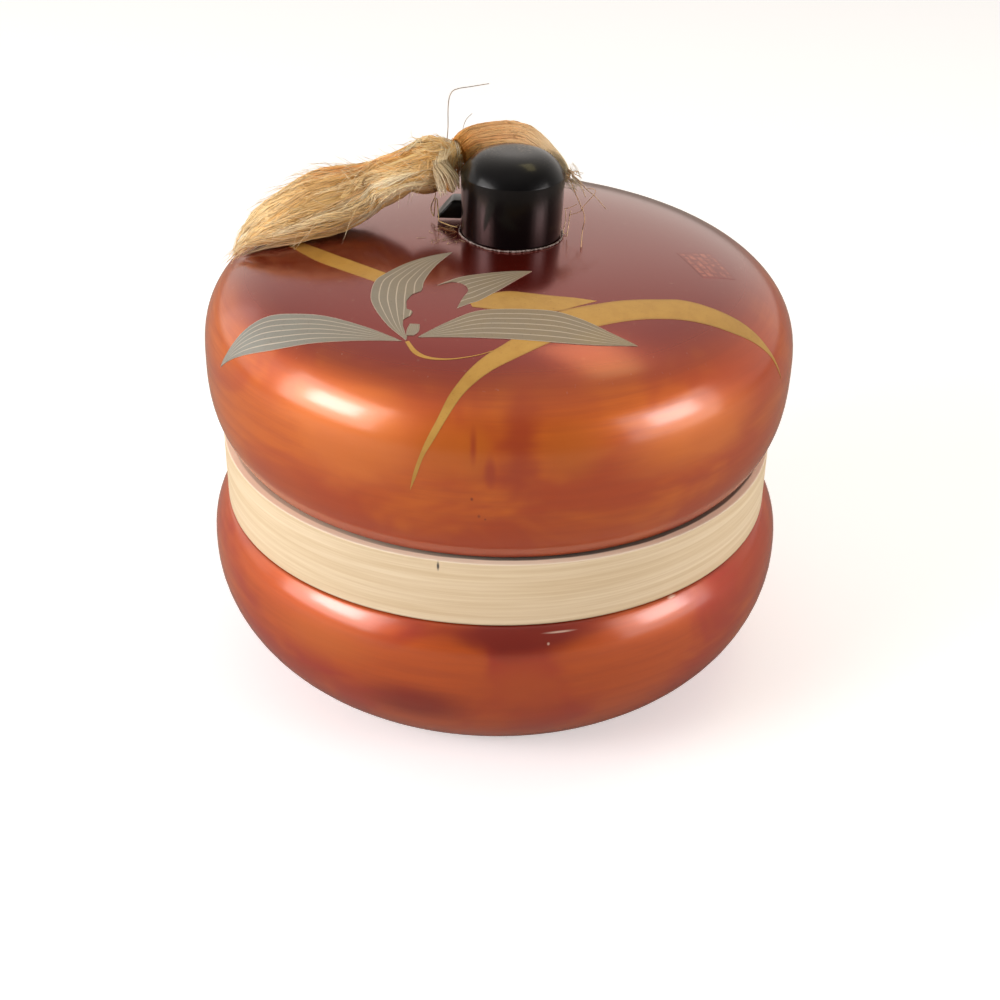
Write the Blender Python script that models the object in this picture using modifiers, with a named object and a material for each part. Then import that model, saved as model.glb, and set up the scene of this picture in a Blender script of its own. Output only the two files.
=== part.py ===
"""Round lacquered trinket box: bowl, pale wood band, lift-off lid, black knob and silk tassel.

Lengths are in metres and +Z is up. The origin is the middle of the underside.
The lid, knob and tassel are modelled on the lid's seat, with its middle as their zero.
"""
import math

import bmesh
import bpy
from mathutils import Matrix, Vector

# Bowl, turned from one block
BOWL_RADIUS = 0.0760
BOWL_WIDEST_Z = 0.0329
BOWL_RIM_RADIUS = 0.0718
BOWL_HEIGHT = 0.0470
BOWL_FOOT_RADIUS = 0.0445
BOWL_WALL = 0.0030
BOWL_FLOOR = 0.0045
BOWL_SHOULDER_POWER = 2.9
BOWL_BELLY_POWER = 1.93

# Pale wood band, glued in the bowl's mouth
BAND_HEIGHT = 0.0170
BAND_THICKNESS = 0.0078
BAND_TONGUE_DEPTH = 0.0040
BAND_LIP_HEIGHT = 0.0050
BAND_LEDGE = 0.0026

# Lid, a hollow dome that stands on the band's ledge
LID_RADIUS = 0.0750
LID_WIDEST_Z = 0.0221
LID_CROWN = 0.0306
LID_WALL = 0.0026
LID_CROWN_POWER = 2.8
LID_TUCK_POWER = 2.8
LID_LEAN_DEG = 0.8

# Knob, glued a little off the middle, with a small lug behind its left side
KNOB_RADIUS = 0.0127
KNOB_BASE_RADIUS = 0.0124
KNOB_SIDE_HEIGHT = 0.0150
KNOB_DOME = 0.0057
KNOB_DOME_POWER = 4.2
KNOB_EDGE = 0.0007
KNOB_X = 0.0021
KNOB_Y = -0.0027
LUG_REACH = 0.0065
LUG_DEPTH = 0.0055
LUG_HEIGHT = 0.0048
LUG_BEHIND = 0.0080
LUG_LIFT = 0.0010
LUG_EDGE = 0.0006

# Silk tassel: a strap round the back of the knob, a knot, a skirt and a short loose lock
STRAP_THICKNESS = 0.0044
STRAP_WIDTH = 0.0110
STRAP_START_DEG = 12.0
STRAP_END_DEG = 152.0
STRAP_RISE = 0.0025
STRAP_SAG = 0.0045
STRAP_LEAN_DEG = 14.0
TASSEL_LENGTH = 0.0530
TASSEL_SPREAD = 0.0210
TASSEL_DEPTH = 0.0148
LOCK_LENGTH = 0.0105
LOCK_WIDTH = 0.0058
LOCK_DEPTH = 0.0042
LOCK_BEHIND = 0.0028
SKIRT_RIDGES = 8
STRAP_RIDGES = 5
RIDGE_SHARE = 0.11
RIDGE_TURNS = 0.8

# Fits
GAP = 0.0003
LIP_CLEARANCE = 0.0004
SILK_CLEARANCE = 0.0005

# Facets
TURN_STEPS = 52
KNOB_STEPS = 32
CURVE_POINTS = 6
CROWN_POINTS = 10
SKIRT_RINGS = 32
SKIRT_SIDES = 24
STRAP_RINGS = 20
STRAP_SIDES = 14
LOCK_RINGS = 7
LOCK_SIDES = 10

SEAM_Z = BOWL_HEIGHT + GAP
LEDGE_Z = SEAM_Z + BAND_HEIGHT
SEAT_Z = LEDGE_Z + GAP
LID_EDGE_RADIUS = BOWL_RIM_RADIUS - BAND_LEDGE
LID_TOP = LID_WIDEST_Z + LID_CROWN
LEAN = math.radians(LID_LEAN_DEG)


def clear_scene():
    for item in list(bpy.data.objects):
        bpy.data.objects.remove(item, do_unlink=True)


def new_collection(name):
    collection = bpy.data.collections.new(name)
    bpy.context.scene.collection.children.link(collection)
    return collection


def new_material(name, color, roughness, metallic=0.0, coat=0.0):
    material = bpy.data.materials.new(name)
    material.use_nodes = True
    shader = material.node_tree.nodes["Principled BSDF"]
    shader.inputs["Base Color"].default_value = (*color, 1.0)
    shader.inputs["Roughness"].default_value = roughness
    shader.inputs["Metallic"].default_value = metallic
    shader.inputs["Coat Weight"].default_value = coat
    material.diffuse_color = (*color, 1.0)
    return material


def place(item, collection, material=None, parent=None):
    collection.objects.link(item)
    item.parent = parent
    if material:
        item.data.materials.append(material)
    return item


def make_guide(item):
    item.hide_render = True
    item.display_type = "WIRE"


def turned(name, outline, steps, closed=False):
    """An outline of (radius, height) pairs, down its outer side, turned round the Z axis."""
    mesh = bpy.data.meshes.new(name)
    edges = [(index, index + 1) for index in range(len(outline) - 1)]
    if closed:
        edges.append((len(outline) - 1, 0))
    mesh.from_pydata([(radius, 0.0, height) for radius, height in outline], edges, [])
    item = bpy.data.objects.new(name, mesh)
    screw = item.modifiers.new("Turn", "SCREW")
    screw.steps = steps
    screw.render_steps = steps
    screw.use_merge_vertices = True
    screw.merge_threshold = 0.00001
    screw.use_smooth_shade = True
    return item


def tuck(widest_radius, edge_radius, widest_z, edge_z, power):
    """From the widest line to an edge that is tucked in, both ends included."""
    points = []
    for index in range(CURVE_POINTS + 1):
        share = index / CURVE_POINTS
        radius = widest_radius - (widest_radius - edge_radius) * share ** power
        points.append((radius, widest_z + (edge_z - widest_z) * share))
    return points


def swell(widest_radius, flat_radius, widest_z, flat_z, power, count):
    """From the widest line round to a flat, both ends included."""
    points = []
    for index in range(count + 1):
        angle = 0.5 * math.pi * index / count
        across = max(math.cos(angle), 0.0) ** (2.0 / power)
        along = math.sin(angle) ** (2.0 / power)
        radius = flat_radius + (widest_radius - flat_radius) * across
        points.append((radius, widest_z + (flat_z - widest_z) * along))
    return points


def bowl_radius(z):
    """Radius of the bowl's outer face at a height over its widest line."""
    share = (z - BOWL_WIDEST_Z) / (BOWL_HEIGHT - BOWL_WIDEST_Z)
    return BOWL_RADIUS - (BOWL_RADIUS - BOWL_RIM_RADIUS) * max(share, 0.0) ** BOWL_SHOULDER_POWER


def bowl_side(wall, foot_z, rim_z):
    """The bowl's side from rim to foot, the wall's thickness inside its outer face."""
    shoulder = tuck(BOWL_RADIUS - wall, BOWL_RIM_RADIUS - wall, BOWL_WIDEST_Z, rim_z, BOWL_SHOULDER_POWER)
    belly = swell(BOWL_RADIUS - wall, BOWL_FOOT_RADIUS - wall, BOWL_WIDEST_Z, foot_z,
                  BOWL_BELLY_POWER, CURVE_POINTS)
    return shoulder[::-1] + belly[1:]


def lid_side(wall):
    """The lid's side from its crown to its edge, the wall's thickness inside its outer face."""
    crown = swell(LID_RADIUS - wall, 0.0, LID_WIDEST_Z, LID_TOP - wall, LID_CROWN_POWER, CROWN_POINTS)
    edge = tuck(LID_RADIUS - wall, LID_EDGE_RADIUS - wall, LID_WIDEST_Z, 0.0, LID_TUCK_POWER)
    return crown[::-1] + edge[1:]


def lid_surface(x, y):
    """Height of the lid's outer face over a point of its seat."""
    share = min(math.hypot(x, y) / LID_RADIUS, 1.0)
    return LID_WIDEST_Z + LID_CROWN * (1.0 - share ** LID_CROWN_POWER) ** (1.0 / LID_CROWN_POWER)


def make_bowl(collection, lacquer):
    outside = bowl_side(0.0, 0.0, BOWL_HEIGHT)
    inside = bowl_side(BOWL_WALL, BOWL_FLOOR, BOWL_HEIGHT)
    outline = [(0.0, BOWL_FLOOR)] + inside[::-1] + outside + [(0.0, 0.0)]
    return place(turned("bowl", outline, TURN_STEPS), collection, lacquer)


def make_band(collection, wood):
    """A ring with a tongue in the bowl's mouth and a lip inside the lid's edge."""
    outer = BOWL_RIM_RADIUS
    inner = outer - BAND_THICKNESS
    mouth = min(bowl_radius(SEAM_Z - BAND_TONGUE_DEPTH), BOWL_RIM_RADIUS)
    tongue = mouth - BOWL_WALL - GAP
    lip = LID_EDGE_RADIUS - LID_WALL - LIP_CLEARANCE
    outline = [
        (inner, LEDGE_Z + BAND_LIP_HEIGHT),
        (lip, LEDGE_Z + BAND_LIP_HEIGHT),
        (lip, LEDGE_Z),
        (outer, LEDGE_Z),
        (outer, SEAM_Z),
        (tongue, SEAM_Z),
        (tongue, SEAM_Z - BAND_TONGUE_DEPTH),
        (inner, SEAM_Z - BAND_TONGUE_DEPTH),
    ]
    guide = turned("band_ring", outline, TURN_STEPS, closed=True)
    place(guide, collection)
    bpy.context.view_layer.update()
    evaluated = guide.evaluated_get(bpy.context.evaluated_depsgraph_get())
    mesh = bpy.data.meshes.new_from_object(evaluated)
    bpy.data.objects.remove(guide, do_unlink=True)
    # The ledge is cut on a slant, so the lid that stands on it leans to the right
    for vertex in mesh.vertices:
        share = min(max((vertex.co.z - SEAM_Z) / BAND_HEIGHT, 0.0), 1.0)
        vertex.co.z -= vertex.co.x * math.tan(LEAN) * share
    mesh.set_sharp_from_angle(angle=math.radians(40))
    return place(bpy.data.objects.new("wood_band", mesh), collection, wood)


def make_lid(collection, lacquer, seat):
    outline = lid_side(0.0) + lid_side(LID_WALL)[::-1]
    return place(turned("lid", outline, TURN_STEPS), collection, lacquer, seat)


def make_knob(collection, guides, black, seat):
    """A short post with a domed top, joined to the small lug behind its left side."""
    shoulder = KNOB_SIDE_HEIGHT
    outline = []
    for index in range(CURVE_POINTS + 1):
        share = math.sin(0.5 * math.pi * index / CURVE_POINTS)
        height = KNOB_DOME * (1.0 - share ** KNOB_DOME_POWER)
        outline.append(((KNOB_RADIUS - KNOB_EDGE) * share, shoulder + height))
    outline += [
        (KNOB_RADIUS, shoulder - KNOB_EDGE),
        (KNOB_RADIUS, shoulder - 2.0 * KNOB_EDGE),
        (KNOB_BASE_RADIUS, KNOB_EDGE),
        (KNOB_BASE_RADIUS - KNOB_EDGE, 0.0),
        (0.0, 0.0),
    ]
    knob = place(turned("knob", outline, KNOB_STEPS), collection, black, seat)
    knob.location = (KNOB_X, KNOB_Y, LID_TOP + GAP)

    length = KNOB_BASE_RADIUS + LUG_REACH
    mesh = bpy.data.meshes.new("lug")
    form = bmesh.new()
    bmesh.ops.create_cube(form, size=1.0, matrix=Matrix.Diagonal((length, LUG_DEPTH, LUG_HEIGHT, 1.0)))
    form.to_mesh(mesh)
    form.free()
    lug = place(bpy.data.objects.new("lug", mesh), guides, parent=seat)
    lug.location = (KNOB_X - 0.5 * length, KNOB_Y + LUG_BEHIND, LID_TOP + LUG_LIFT + 0.5 * LUG_HEIGHT)
    edges = lug.modifiers.new("Edges", "BEVEL")
    edges.width = LUG_EDGE
    edges.segments = 2
    make_guide(lug)
    join = knob.modifiers.new("Lug", "BOOLEAN")
    join.operation = "UNION"
    join.object = lug
    return knob


def smooth_rows(rows, count):
    """Rows of numbers, passed through smoothly and read at even steps."""
    last = len(rows) - 1
    result = []
    for index in range(count):
        position = last * index / (count - 1)
        start = min(int(position), last - 1)
        share = position - start
        before, first = rows[max(start - 1, 0)], rows[start]
        second, after = rows[start + 1], rows[min(start + 2, last)]
        result.append([
            0.5 * (2.0 * b + (c - a) * share + (2.0 * a - 5.0 * b + 4.0 * c - d) * share ** 2
                   + (3.0 * b - a - 3.0 * c + d) * share ** 3)
            for a, b, c, d in zip(before, first, second, after)
        ])
    return result


def clear_of_neighbours(point):
    """Moves a point of the silk out of the knob, its lug and the lid."""
    axis = Vector((KNOB_X, KNOB_Y, 0.0))
    offset = Vector((point.x, point.y, 0.0)) - axis
    least = KNOB_RADIUS + SILK_CLEARANCE
    if offset.length < least:
        offset = offset.normalized() * least
        point = Vector((axis.x + offset.x, axis.y + offset.y, point.z))
    floor = lid_surface(point.x, point.y) + SILK_CLEARANCE
    behind = point.y - KNOB_Y - LUG_BEHIND
    reach = KNOB_X - KNOB_BASE_RADIUS - LUG_REACH
    margin = 3.0 * SILK_CLEARANCE
    if abs(behind) < 0.5 * LUG_DEPTH + margin and point.x > reach - margin:
        floor = max(floor, LID_TOP + LUG_LIFT + LUG_HEIGHT + 2.0 * SILK_CLEARANCE)
    point.z = max(point.z, floor)
    return point


def silk(name, rows, rings, sides, ridges, lean=0.0):
    """A hank of silk: rows of x, y, z, half width and half depth, with locks along it."""
    stations = smooth_rows(rows, rings)
    centres = [Vector(station[:3]) for station in stations]
    form = bmesh.new()
    loops = []
    for index, station in enumerate(stations):
        ahead = centres[min(index + 1, rings - 1)] - centres[max(index - 1, 0)]
        across = ahead.cross(Vector((0.0, 0.0, 1.0))).normalized()
        upward = across.cross(ahead).normalized()
        turn = Matrix.Rotation(lean, 3, ahead.normalized())
        loop = []
        for side in range(sides):
            angle = 2.0 * math.pi * side / sides
            twist = 2.0 * math.pi * RIDGE_TURNS * index / rings
            swell_by = 1.0 + RIDGE_SHARE * math.cos(ridges * angle + twist)
            offset = across * station[3] * math.cos(angle) + upward * station[4] * math.sin(angle)
            point = clear_of_neighbours(centres[index] + turn @ offset * swell_by)
            loop.append(form.verts.new(point))
        loops.append(loop)
    for first, second in zip(loops, loops[1:]):
        for side in range(sides):
            after = (side + 1) % sides
            form.faces.new((first[side], first[after], second[after], second[side]))
    form.faces.new(loops[0][::-1])
    form.faces.new(loops[-1])
    bmesh.ops.recalc_face_normals(form, faces=form.faces)
    mesh = bpy.data.meshes.new(name)
    form.to_mesh(mesh)
    form.free()
    mesh.shade_smooth()
    return bpy.data.objects.new(name, mesh)


def skirt_rows():
    """Along the skirt from the strap to its tip.

    Shares of the length to the left, of the length to the back, lift over the lid as a
    share of the depth, and shares of the spread and the depth.
    """
    shares = [
        (-0.04, 0.17, 0.80, 0.33, 0.54),
        (0.05, 0.14, 0.62, 0.52, 0.84),
        (0.12, 0.08, 0.56, 0.62, 0.88),
        (0.21, 0.05, 0.62, 0.54, 0.68),
        (0.27, 0.05, 0.48, 0.58, 0.74),
        (0.35, 0.07, 0.32, 0.68, 0.76),
        (0.46, 0.07, 0.13, 0.86, 0.92),
        (0.58, 0.06, 0.04, 1.00, 1.00),
        (0.71, 0.06, 0.01, 1.00, 0.88),
        (0.84, 0.07, 0.01, 0.78, 0.70),
        (0.93, 0.08, 0.01, 0.50, 0.46),
        (1.00, 0.10, 0.01, 0.19, 0.20),
    ]
    start_x = KNOB_X - KNOB_RADIUS - 0.5 * STRAP_THICKNESS - SILK_CLEARANCE
    rows = []
    for left, back, lift, spread, depth in shares:
        x = start_x - left * TASSEL_LENGTH
        y = KNOB_Y + back * TASSEL_LENGTH
        half_depth = 0.5 * depth * TASSEL_DEPTH
        z = lid_surface(x, y) + half_depth + lift * TASSEL_DEPTH
        rows.append((x, y, z, 0.5 * spread * TASSEL_SPREAD, half_depth))
    return rows


def strap_rows():
    """Round the back of the knob, from its frayed end at the right to the knot at the left."""
    shares = [(0.00, 0.72, 0.35), (0.15, 0.67, 0.60), (0.31, 0.55, 0.80), (0.43, 0.29, 0.95),
              (0.56, 0.02, 1.00), (0.79, 0.10, 1.00), (0.90, 0.16, 0.95), (1.00, 0.24, 0.85)]
    level = LID_TOP + KNOB_SIDE_HEIGHT + STRAP_RISE
    rows = []
    for along, sag, size in shares:
        angle = math.radians(STRAP_START_DEG + (STRAP_END_DEG - STRAP_START_DEG) * along)
        radius = KNOB_RADIUS + SILK_CLEARANCE + 0.5 * STRAP_THICKNESS * size
        rows.append((KNOB_X + radius * math.cos(angle), KNOB_Y + radius * math.sin(angle),
                     level - sag * STRAP_SAG, 0.5 * STRAP_THICKNESS * size, 0.5 * STRAP_WIDTH * size))
    return rows


def lock_rows():
    """The loose lock that hangs in front of the lug."""
    x = KNOB_X - KNOB_RADIUS - 0.5 * LOCK_WIDTH - 2.0 * SILK_CLEARANCE
    y = KNOB_Y + LOCK_BEHIND
    top = LID_TOP + KNOB_SIDE_HEIGHT
    shares = [(0.00, 0.00, 0.84, 0.75), (0.05, 0.35, 0.49, 1.00),
              (0.11, 0.70, 0.14, 0.80), (0.15, 1.00, -0.07, 0.30)]
    return [(x - left * LOCK_WIDTH, y + back * LOCK_WIDTH, top - LOCK_LENGTH * down,
             0.5 * LOCK_WIDTH * size, 0.5 * LOCK_DEPTH * size) for left, down, back, size in shares]


def make_tassel(collection, guides, floss, seat):
    tassel = silk("tassel", skirt_rows(), SKIRT_RINGS, SKIRT_SIDES, SKIRT_RIDGES)
    place(tassel, collection, floss, seat)
    lean = math.radians(STRAP_LEAN_DEG)
    pieces = [
        silk("strap", strap_rows(), STRAP_RINGS, STRAP_SIDES, STRAP_RIDGES, lean),
        silk("loose_lock", lock_rows(), LOCK_RINGS, LOCK_SIDES, 0),
    ]
    for piece in pieces:
        place(piece, guides, parent=seat)
        make_guide(piece)
        join = tassel.modifiers.new(piece.name, "BOOLEAN")
        join.operation = "UNION"
        join.object = piece
    return tassel


def main():
    clear_scene()
    box = new_collection("lacquer trinket box")
    guides = new_collection("joined shapes")
    lacquer = new_material("orange lacquer", (0.42, 0.085, 0.018), 0.28, 0.35, 1.0)
    wood = new_material("pale wood", (0.74, 0.62, 0.43), 0.55)
    black = new_material("black lacquer", (0.012, 0.012, 0.013), 0.12, 0.0, 1.0)
    floss = new_material("silk floss", (0.66, 0.47, 0.25), 0.6)
    seat = bpy.data.objects.new("lid seat", None)
    box.objects.link(seat)
    seat.location = (0.0, 0.0, SEAT_Z)
    seat.rotation_euler = (0.0, LEAN, 0.0)
    make_bowl(box, lacquer)
    make_band(box, wood)
    make_lid(box, lacquer, seat)
    make_knob(box, guides, black, seat)
    make_tassel(box, guides, floss, seat)


main()
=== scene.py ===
"""The lacquer trinket box as it looks in the photograph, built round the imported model.

Lengths are in metres where no comment says millimetres. The lid and what it carries are drawn
on the lid's seat, with the seat's middle as their zero, and then set in place.
"""
import math
import random

import bmesh
import bpy
from mathutils import Matrix, Vector


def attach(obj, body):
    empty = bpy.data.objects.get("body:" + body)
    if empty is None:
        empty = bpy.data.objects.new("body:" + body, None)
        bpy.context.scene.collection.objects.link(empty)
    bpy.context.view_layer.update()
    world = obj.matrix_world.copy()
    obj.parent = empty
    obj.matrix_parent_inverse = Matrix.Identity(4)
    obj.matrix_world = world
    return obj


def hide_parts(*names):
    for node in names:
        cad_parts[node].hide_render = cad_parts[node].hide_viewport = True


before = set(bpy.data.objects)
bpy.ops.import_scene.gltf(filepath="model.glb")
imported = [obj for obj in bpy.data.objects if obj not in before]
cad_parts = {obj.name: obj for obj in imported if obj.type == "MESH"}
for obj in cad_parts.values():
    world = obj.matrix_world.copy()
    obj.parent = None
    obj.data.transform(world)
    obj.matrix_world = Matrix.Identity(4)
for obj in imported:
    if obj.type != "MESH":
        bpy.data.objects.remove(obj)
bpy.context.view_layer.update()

MM = 0.001

# Camera: level with a standing eye, a little above the box, as in the photograph.
EYE = Vector((0.0, -0.3700, 0.2629))
AIM = Vector((0.00125, 0.0, 0.0380))
ROLL = math.radians(1.0)
camera_data = bpy.data.cameras.new("camera")
camera_data.lens = 56.63
camera_data.sensor_width = 36.0
camera_data.clip_start = 0.01
camera = bpy.data.objects.new("camera", camera_data)
bpy.context.scene.collection.objects.link(camera)
turn = (AIM - EYE).to_track_quat("-Z", "Y").to_matrix().to_4x4()
camera.matrix_world = Matrix.Translation(EYE) @ turn @ Matrix.Rotation(ROLL, 4, "Z")
bpy.context.scene.camera = camera
bpy.context.scene.view_settings.view_transform = "Standard"


# Studio: a pale floor, a soft box with a wide weak glow at each front corner, a dim one behind
# the left, a small warm lamp overhead, and a pale surround that is brightest behind the box.
def feed(node, feeds):
    """Gives a node's inputs their values, or links them to the outputs that feed them."""
    for key, value in feeds.items():
        if isinstance(value, bpy.types.NodeSocket):
            node.id_data.links.new(value, node.inputs[key])
        else:
            node.inputs[key].default_value = value


def add(tree, kind, feeds, **settings):
    """A new shader node with its inputs fed."""
    made = tree.nodes.new("ShaderNode" + kind)
    for name, value in settings.items():
        setattr(made, name, value)
    feed(made, feeds)
    return made


def coords(tree, kind):
    """Texture coordinates of one kind."""
    return add(tree, "TexCoord", {}).outputs[kind]


def calc(operation, first, second=0.0, clamp=False):
    """One step of arithmetic on two values, at least one of them a socket."""
    tree = (first if isinstance(first, bpy.types.NodeSocket) else second).id_data
    return add(tree, "Math", {0: first, 1: second}, operation=operation, use_clamp=clamp).outputs[0]


def times(first, second):
    """The product of two values."""
    return calc("MULTIPLY", first, second)


def plus(first, second, clamp=False):
    """The sum of two values."""
    return calc("ADD", first, second, clamp)


def noise(place, scale, detail, roughness=0.5, distortion=0.0):
    """The value of a cloudy pattern at a place."""
    feeds = {"Vector": place, "Scale": scale, "Detail": detail, "Roughness": roughness,
             "Distortion": distortion}
    return add(place.id_data, "TexNoise", feeds).outputs[0]


def stretch(place, scale, shift=(0.0, 0.0, 0.0)):
    """A place stretched along the axes and then shifted."""
    return add(place.id_data, "Mapping", {0: place, "Location": shift, "Scale": scale}).outputs[0]


def distance(x, y):
    """Distance from the upright axis."""
    return calc("SQRT", plus(times(x, x), times(y, y)))


def axes(place):
    """The three parts of a place."""
    return add(place.id_data, "SeparateXYZ", {0: place}).outputs


def bump(height, strength, step):
    """Relief for a shader's normal."""
    feeds = {"Height": height, "Strength": strength, "Distance": step}
    return add(height.id_data, "Bump", feeds).outputs[0]


def fade(value, start, end):
    """0 at start, 1 at end and smooth between them."""
    feeds = {"Value": value, "From Min": start, "From Max": end}
    return add(value.id_data, "MapRange", feeds, interpolation_type="SMOOTHSTEP").outputs[0]


def mix(share, first, second):
    """Mixes two numbers by a share."""
    return add(share.id_data, "Mix", {0: share, 2: first, 3: second}).outputs[0]


def tint(share, first, second):
    """Mixes two colours by a share."""
    first, second = [(*c, 1.0) if isinstance(c, tuple) else c for c in (first, second)]
    return add(share.id_data, "Mix", {0: share, 6: first, 7: second}, data_type="RGBA").outputs[2]


def fresh(primitive, name, **settings):
    """A new named mesh from one of Blender's primitives."""
    bpy.ops.object.select_all(action="DESELECT")
    primitive(**settings)
    item = bpy.context.active_object
    item.name = item.data.name = name
    return item


floor = fresh(bpy.ops.mesh.primitive_plane_add, "floor", size=8.0)
paper = bpy.data.materials.new("pale_paper")
paper.use_nodes = True
tree = paper.node_tree
shader = tree.nodes["Principled BSDF"]
# The paper is nearly white to look at, and throws only a part of that light on the box
rays = add(tree, "LightPath", {}).outputs
seen = rays["Is Camera Ray"]
dim = tint(rays["Is Glossy Ray"], (0.74, 0.69, 0.65), (0.36, 0.33, 0.30))
feed(shader, {
    "Base Color": tint(seen, dim, (0.93, 0.93, 0.93)), "Roughness": 0.9,
    "Emission Color": (1.0, 1.0, 1.0, 1.0), "Emission Strength": times(seen, 0.40)})
floor.data.materials.append(paper)

world = bpy.data.worlds.new("surround")
bpy.context.scene.world = world
world.use_nodes = True
tree = world.node_tree
tree.nodes.clear()
sight = axes(coords(tree, "Generated"))
behind = fade(sight[1], -0.35, 1.0)
above = fade(sight[2], 0.55, 1.0)
glow = plus(plus(times(behind, 0.72), times(above, 0.35)), 0.09)
seen = add(tree, "LightPath", {}).outputs["Is Camera Ray"]
strength = mix(seen, glow, 1.0)
hue = tint(seen, (1.0, 0.93, 0.87), (1.0, 1.0, 1.0))
surround = add(tree, "Background", {"Color": hue, "Strength": strength})
add(tree, "OutputWorld", {0: surround.outputs[0]})

# Degrees round from the camera's side and above the floor, distance, width, height, watts and colour
SOFT_BOXES = {
    "left": (-62.0, 22.0, 1.0, 0.36, 0.26, 3.2, (1.0, 0.96, 1.0)),
    "left_glow": (-64.0, 21.0, 1.02, 0.76, 0.62, 5.4, (1.0, 0.97, 0.95)),
    "left_back": (-112.0, 16.0, 1.0, 0.70, 0.50, 0.6, (1.0, 0.97, 0.97)),
    "right": (66.0, 16.0, 1.0, 0.34, 0.30, 2.1, (1.0, 0.97, 1.0)),
    "right_glow": (66.0, 13.0, 1.02, 0.72, 0.64, 3.1, (1.0, 0.95, 0.93)),
    "overhead": (124.0, 66.0, 0.9, 0.44, 0.20, 0.55, (1.0, 0.84, 0.36)),
}
LAMP_AIM = Vector((0.0, 0.0, 0.08))
for name, (around, above, far, width, height, watts, colour) in SOFT_BOXES.items():
    lamp = bpy.data.lights.new(name, "AREA")
    lamp.shape = "RECTANGLE"
    lamp.size = width
    lamp.size_y = height
    lamp.energy = watts
    lamp.color = colour
    around, above = math.radians(around), math.radians(above)
    level = math.cos(above)
    way = Vector((math.sin(around) * level, -math.cos(around) * level, math.sin(above)))
    place = LAMP_AIM + way * far
    item = bpy.data.objects.new(name, lamp)
    bpy.context.scene.collection.objects.link(item)
    item.matrix_world = Matrix.Translation(place) @ way.to_track_quat("Z", "Y").to_matrix().to_4x4()

# Bowl: turned from one block, hollow, with a small flat foot and a plain rounded rim.
# Amber and red lacquer over metal foil, wiped on round the turning, under a clear coat.
BOWL_RADIUS = 0.0760
BOWL_WIDEST_Z = 0.0329
BOWL_RIM_RADIUS = 0.0718
BOWL_HEIGHT = 0.0470
BOWL_FOOT_RADIUS = 0.0445
BOWL_WALL = 0.0030
BOWL_FLOOR = 0.0045
SHOULDER_POWER = 2.9
BELLY_POWER = 1.93
RIM_ROUND = 0.0005
SAME_PLACE = 0.000002
TURN_STEPS = 168
SIDE_POINTS = 18
WINE_RED = (0.26, 0.017, 0.008)
FOIL_SHINE = 0.75
WARM_COAT = (1.0, 0.92, 0.86, 1.0)


def tuck(widest, edge, widest_z, edge_z, power, count):
    """From the widest line to an edge that is tucked in, both ends included."""
    shares = [index / count for index in range(count + 1)]
    return [(widest - (widest - edge) * s ** power, widest_z + (edge_z - widest_z) * s) for s in shares]


def swell(widest, flat, widest_z, flat_z, power, count):
    """From the widest line round to a flat, both ends included."""
    points = []
    for index in range(count + 1):
        angle = 0.5 * math.pi * index / count
        across = max(math.cos(angle), 0.0) ** (2.0 / power)
        along = math.sin(angle) ** (2.0 / power)
        points.append((flat + (widest - flat) * across, widest_z + (flat_z - widest_z) * along))
    return points


def turned(name, outline, rounds, steps=TURN_STEPS):
    """Draws an outline of (radius, height), rounds the corners in rounds and spins it."""
    item = fresh(bpy.ops.mesh.primitive_plane_add, name, size=0.001)
    bpy.ops.object.mode_set(mode="EDIT")
    bpy.ops.mesh.select_all(action="SELECT")
    bpy.ops.mesh.merge(type="CENTER")
    bpy.ops.transform.translate(value=(outline[0][0], 0.0, outline[0][1]))
    for (r, z), (next_r, next_z) in zip(outline, outline[1:]):
        step = (next_r - r, 0.0, next_z - z)
        bpy.ops.mesh.extrude_region_move(TRANSFORM_OT_translate={"value": step})
    bpy.ops.mesh.select_all(action="SELECT")
    bpy.ops.mesh.remove_doubles(threshold=SAME_PLACE)
    for corner, size in rounds.items():
        form = bmesh.from_edit_mesh(item.data)
        place = Vector((outline[corner][0], 0.0, outline[corner][1]))
        for vertex in form.verts:
            vertex.select = (vertex.co - place).length < 2.5 * SAME_PLACE
        form.select_flush_mode()
        bmesh.update_edit_mesh(item.data)
        bpy.ops.mesh.bevel(offset=size, segments=5, affect="VERTICES")
    bpy.ops.mesh.select_all(action="SELECT")
    bpy.ops.mesh.spin(steps=steps, angle=2.0 * math.pi, center=(0.0, 0.0, 0.0), axis=(0.0, 0.0, 1.0))
    bpy.ops.mesh.select_all(action="SELECT")
    bpy.ops.mesh.remove_doubles(threshold=SAME_PLACE)
    bpy.ops.mesh.normals_make_consistent(inside=False)
    bpy.ops.object.mode_set(mode="OBJECT")
    bpy.ops.object.shade_smooth_by_angle(angle=math.radians(35.0))
    return item


def bowl_side(wall, foot_z):
    """The bowl's side from its rim to its foot, the wall's thickness inside its outer face."""
    shoulder = tuck(BOWL_RADIUS - wall, BOWL_RIM_RADIUS - wall, BOWL_WIDEST_Z, BOWL_HEIGHT,
                    SHOULDER_POWER, SIDE_POINTS)
    belly = swell(BOWL_RADIUS - wall, BOWL_FOOT_RADIUS - wall, BOWL_WIDEST_Z, foot_z,
                  BELLY_POWER, SIDE_POINTS)
    return shoulder[::-1] + belly[1:]


def new_material(name):
    """An empty node material and its shader."""
    material = bpy.data.materials.new(name)
    material.use_nodes = True
    tree = material.node_tree
    return material, tree, tree.nodes["Principled BSDF"]


def blot(spot, place, size, ragged=None):
    """1 in a soft blot round a place and 0 outside it; place and size (half widths) are in mm."""
    scale = [1.0 / (half * MM) for half in size]
    near = stretch(spot, scale, [-middle * MM * factor for middle, factor in zip(place, scale)])
    away = add(spot.id_data, "VectorMath", {0: near}, operation="LENGTH").outputs["Value"]
    if ragged:
        away = plus(away, times(calc("SUBTRACT", ragged, 0.5), 1.6))
    return fade(away, 1.1, 0.2)


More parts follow.
